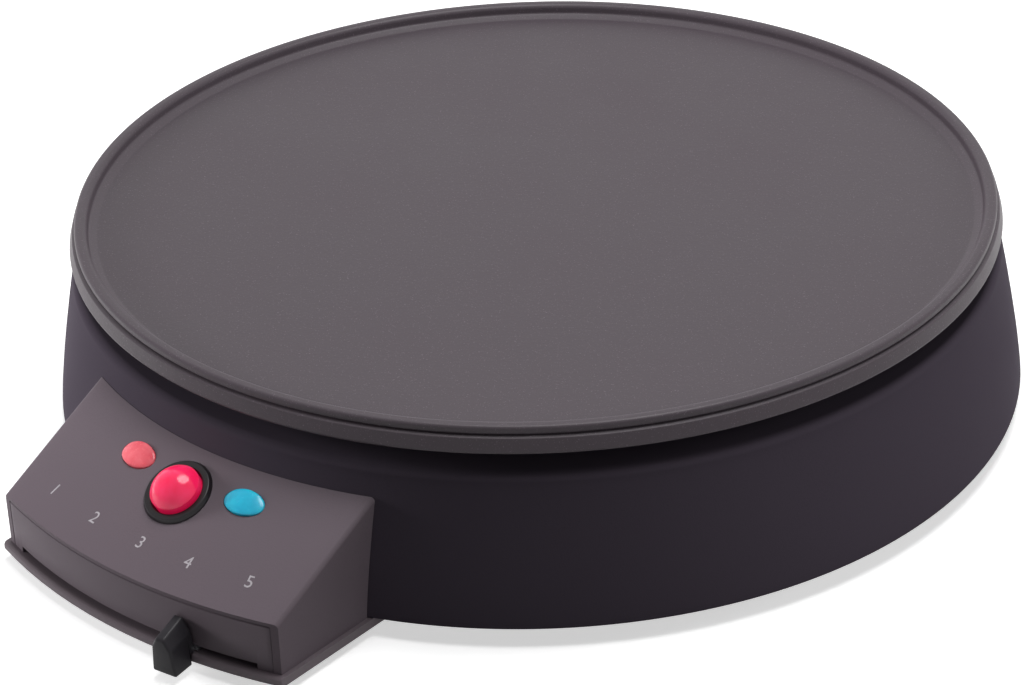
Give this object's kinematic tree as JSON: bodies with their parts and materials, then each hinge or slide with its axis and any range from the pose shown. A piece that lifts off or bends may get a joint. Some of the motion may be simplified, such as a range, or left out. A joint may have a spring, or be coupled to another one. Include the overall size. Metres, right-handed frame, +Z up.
{
  "type": "electric crepe maker",
  "caption": "Round electric griddle for crepes on a drum base, with a sloping control box, domed push button, two indicator lamps and a swinging heat lever.",
  "frame": {"origin": "middle of the footprint, at the height of the table; the drum's axis is 21 mm behind it", "axes": "+Z up, control box towards -Y, +X on the right for a person in front of the box"},
  "size_m": [0.32, 0.3644, 0.07],
  "materials": {
    "nonstick": "black non-stick coating on cast aluminium, satin, fine speckle",
    "element_sheath": "dark annealed steel sheath",
    "ceramic": "unglazed steatite ceramic",
    "zinc_steel": "zinc-plated sheet steel",
    "screw_steel": "zinc-plated screw",
    "shield_steel": "aluminised sheet steel",
    "drum_plastic": "dark heat-resistant plastic, satin",
    "cover_plastic": "grey-violet heat-resistant plastic, matt",
    "foot_rubber": "black rubber",
    "panel_plastic": "grey-violet plastic, fine grained",
    "fascia_plastic": "grey-violet plastic, fine grained",
    "black_plastic": "black moulded plastic",
    "knob_plastic": "black moulded plastic, satin",
    "red_cap": "translucent red, polished",
    "white_plastic": "natural nylon",
    "switch_plastic": "black nylon",
    "brass": "bare brass",
    "red_lens": "translucent pale red",
    "blue_lens": "translucent cyan",
    "lamp_glass": "clear glass neon lamp",
    "spindle_steel": "turned steel",
    "spring_steel": "blackened spring steel",
    "wire_brown": "silicone-sleeved wire",
    "wire_black": "silicone-sleeved wire",
    "wire_glass": "glass-braided wire",
    "wire_blue": "silicone-sleeved wire",
    "wire_green": "silicone-sleeved wire"
  },
  "bodies": {
    "base": {"griddle_plate": "nonstick", "heating_element": "element_sheath", "element_insulators": "ceramic", "element_clamps": "zinc_steel", "clamp_screws": "screw_steel", "heat_shield": "shield_steel", "shield_screws": "screw_steel", "base_drum": "drum_plastic", "bottom_cover": "cover_plastic", "cover_screws": "screw_steel", "spacer_front_right": "zinc_steel", "spacer_rear_right": "zinc_steel", "spacer_rear_left": "zinc_steel", "spacer_front_left": "zinc_steel", "plate_screws": "screw_steel", "foot_front_right": "foot_rubber", "foot_rear_right": "foot_rubber", "foot_rear_left": "foot_rubber", "foot_front_left": "foot_rubber", "control_housing": "panel_plastic", "front_fascia": "fascia_plastic", "housing_screws": "screw_steel", "button_bezel": "black_plastic", "switch_body": "switch_plastic", "switch_terminals": "brass", "power_lens": "red_lens", "ready_lens": "blue_lens", "power_lamp": "lamp_glass", "ready_lamp": "lamp_glass", "power_lamp_holder": "white_plastic", "ready_lamp_holder": "white_plastic", "thermostat_mount": "zinc_steel", "thermostat_body": "ceramic", "thermostat_bush": "brass", "thermostat_terminals": "brass", "thermostat_screws": "screw_steel", "thermal_fuse": "ceramic", "fuse_clip": "zinc_steel", "terminal_block": "white_plastic", "terminal_screws": "screw_steel", "cord_gland": "black_plastic", "gland_nut": "black_plastic", "wire_live": "wire_brown", "wire_switched": "wire_black", "wire_element": "wire_glass", "wire_fuse": "wire_glass", "wire_neutral": "wire_blue", "wire_earth": "wire_green", "wire_lamps": "wire_black"},
    "lever": {"thermostat_spindle": "spindle_steel", "spindle_clip": "spring_steel", "lever_arm": "zinc_steel", "lever_hub": "brass", "hub_screw": "spring_steel", "lever_knob": "knob_plastic"},
    "button": {"power_button": "red_cap", "switch_plunger": "white_plastic"}
  },
  "joints": [
    {"name": "heat_lever", "type": "hinge", "parent": "base", "child": "lever", "pos_m": [0, 0.02124, 0.0071], "axis": [0, 0, 1], "range_deg": [-20.6, 5.4]},
    {"name": "button_press", "type": "slide", "parent": "base", "child": "button", "axis": [-0.0033, 0.4695, -0.8829], "range_m": [0, 0.0025], "stiffness_N_per_m": 600}
  ]
}
